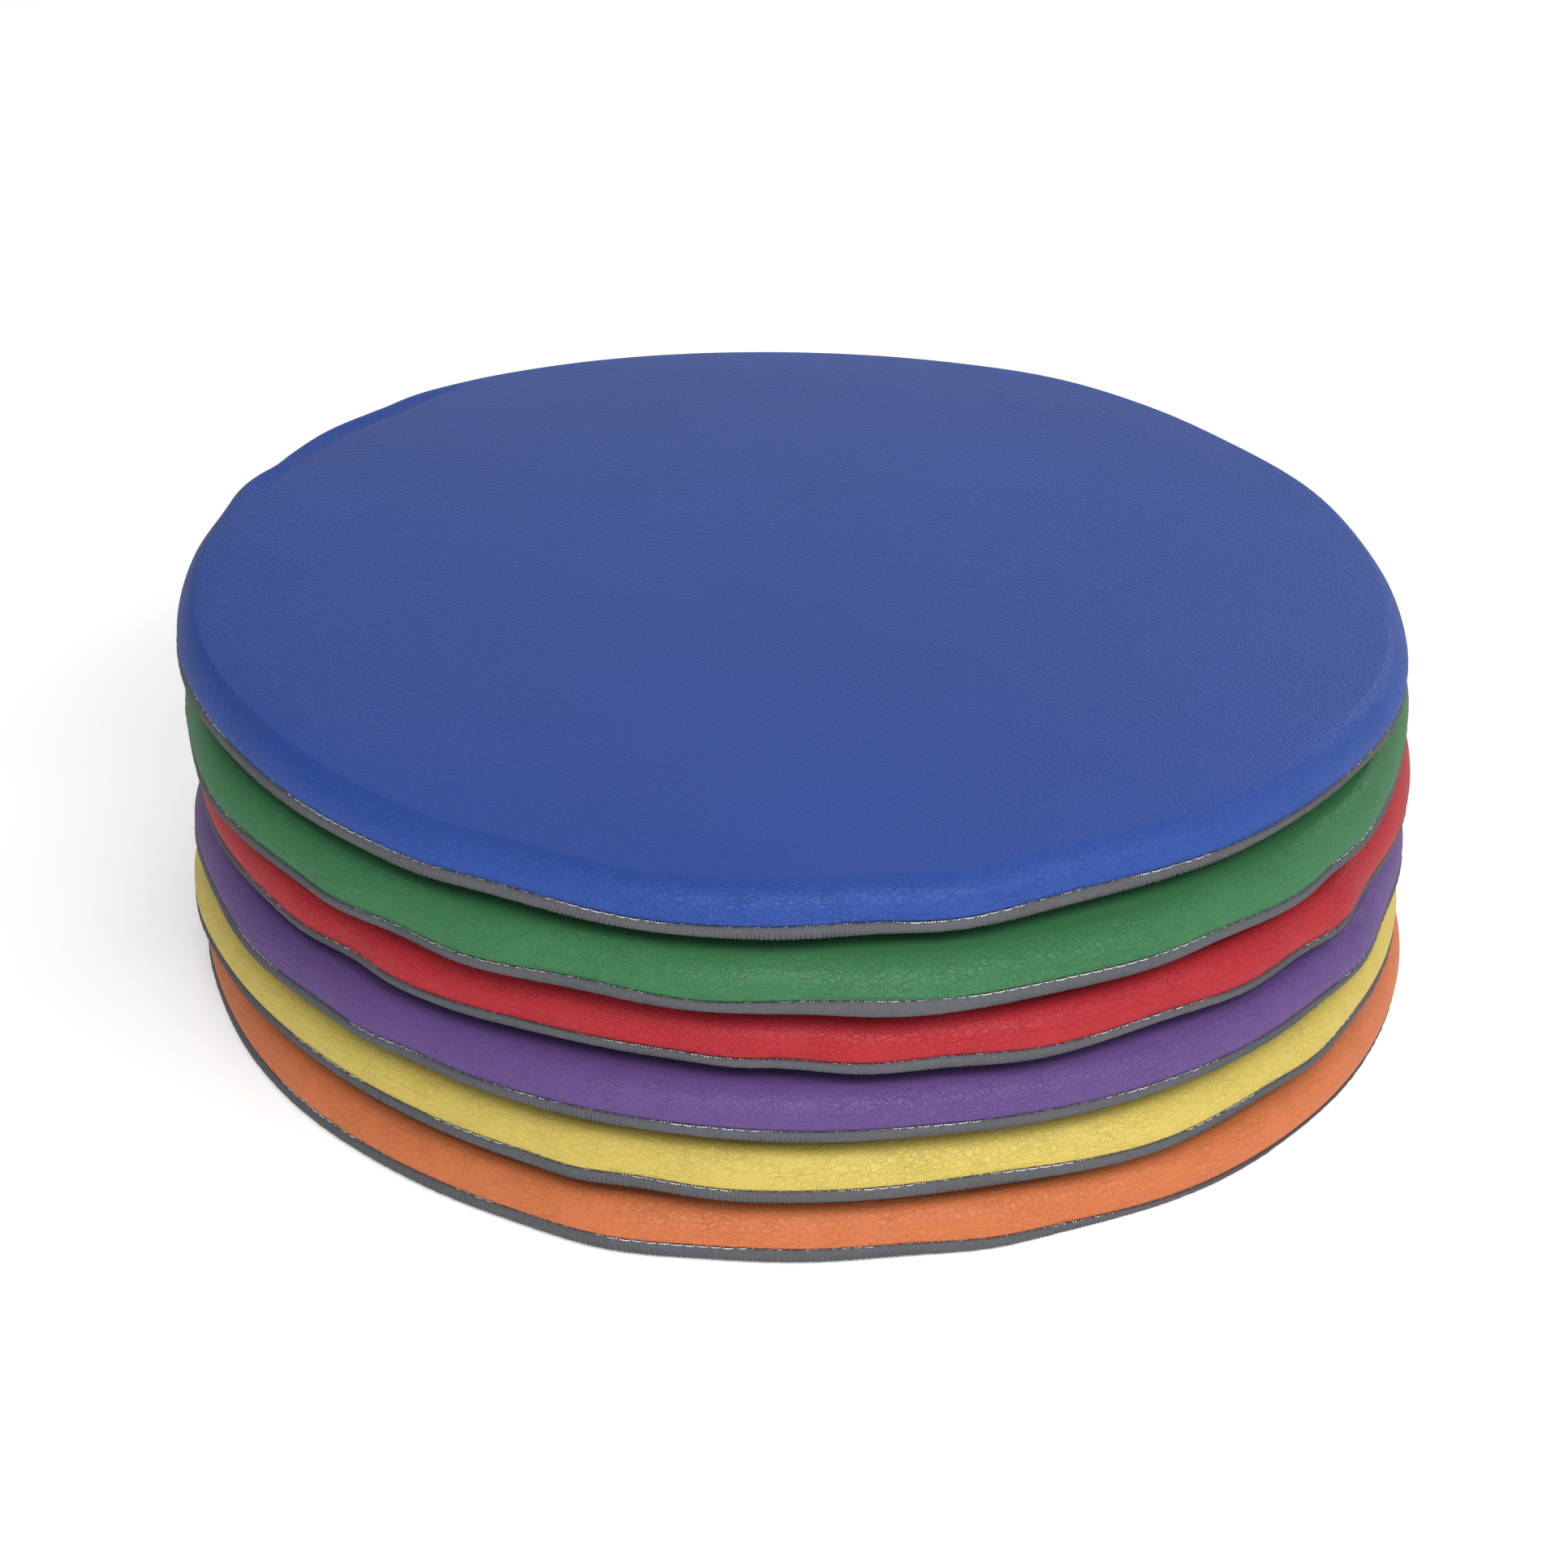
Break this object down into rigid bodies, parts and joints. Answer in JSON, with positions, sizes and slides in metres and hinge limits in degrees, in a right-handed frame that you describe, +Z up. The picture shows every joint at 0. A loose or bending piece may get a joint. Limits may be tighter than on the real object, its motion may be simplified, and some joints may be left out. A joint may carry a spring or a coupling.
{
  "type": "floor cushion",
  "caption": "Stack of thin round foam floor cushions for sitting on, in sewn vinyl covers with a coloured top and a grey underside; each lifts off the one below.",
  "frame": {"origin": "on the floor, under the middle of the stack's outer size; the cushions' own centres lie up to 5 mm from it, because the stack isn't perfectly straight", "axes": "+Z up through the stack; -Y is the side that faces the viewer, +X is to the viewer's right"},
  "size_m": [0.3892, 0.387, 0.1296],
  "materials": {
    "orange_vinyl": "satin coated vinyl with a fine creased leather grain",
    "yellow_vinyl": "satin coated vinyl with a fine creased leather grain",
    "purple_vinyl": "satin coated vinyl with a fine creased leather grain",
    "red_vinyl": "satin coated vinyl with a fine creased leather grain",
    "green_vinyl": "satin coated vinyl with a fine creased leather grain",
    "blue_vinyl": "satin coated vinyl with a fine creased leather grain",
    "grey_vinyl": "matte grey coated vinyl, finely puckered at the seam",
    "foam": "open-cell polyurethane foam, cream",
    "thread": "light grey polyester sewing thread with a slight sheen"
  },
  "bodies": {
    "orange_cushion": {"orange_bottom_cover": "grey_vinyl", "orange_foam_pad": "foam", "orange_seam_thread": "thread", "orange_top_cover": "orange_vinyl"},
    "yellow_cushion": {"yellow_bottom_cover": "grey_vinyl", "yellow_foam_pad": "foam", "yellow_seam_thread": "thread", "yellow_top_cover": "yellow_vinyl"},
    "purple_cushion": {"purple_bottom_cover": "grey_vinyl", "purple_foam_pad": "foam", "purple_seam_thread": "thread", "purple_top_cover": "purple_vinyl"},
    "red_cushion": {"red_bottom_cover": "grey_vinyl", "red_foam_pad": "foam", "red_seam_thread": "thread", "red_top_cover": "red_vinyl"},
    "green_cushion": {"green_bottom_cover": "grey_vinyl", "green_foam_pad": "foam", "green_seam_thread": "thread", "green_top_cover": "green_vinyl"},
    "blue_cushion": {"blue_bottom_cover": "grey_vinyl", "blue_foam_pad": "foam", "blue_seam_thread": "thread", "blue_top_cover": "blue_vinyl"}
  },
  "joints": [
    {"name": "yellow_lift", "type": "slide", "parent": "orange_cushion", "child": "yellow_cushion", "axis": [0, 0, 1], "range_m": [0, 0.02]},
    {"name": "purple_lift", "type": "slide", "parent": "yellow_cushion", "child": "purple_cushion", "axis": [0, 0, 1], "range_m": [0, 0.02]},
    {"name": "red_lift", "type": "slide", "parent": "purple_cushion", "child": "red_cushion", "axis": [0, 0, 1], "range_m": [0, 0.02]},
    {"name": "green_lift", "type": "slide", "parent": "red_cushion", "child": "green_cushion", "axis": [0, 0, 1], "range_m": [0, 0.02]},
    {"name": "blue_lift", "type": "slide", "parent": "green_cushion", "child": "blue_cushion", "axis": [0, 0, 1], "range_m": [0, 0.02]}
  ]
}
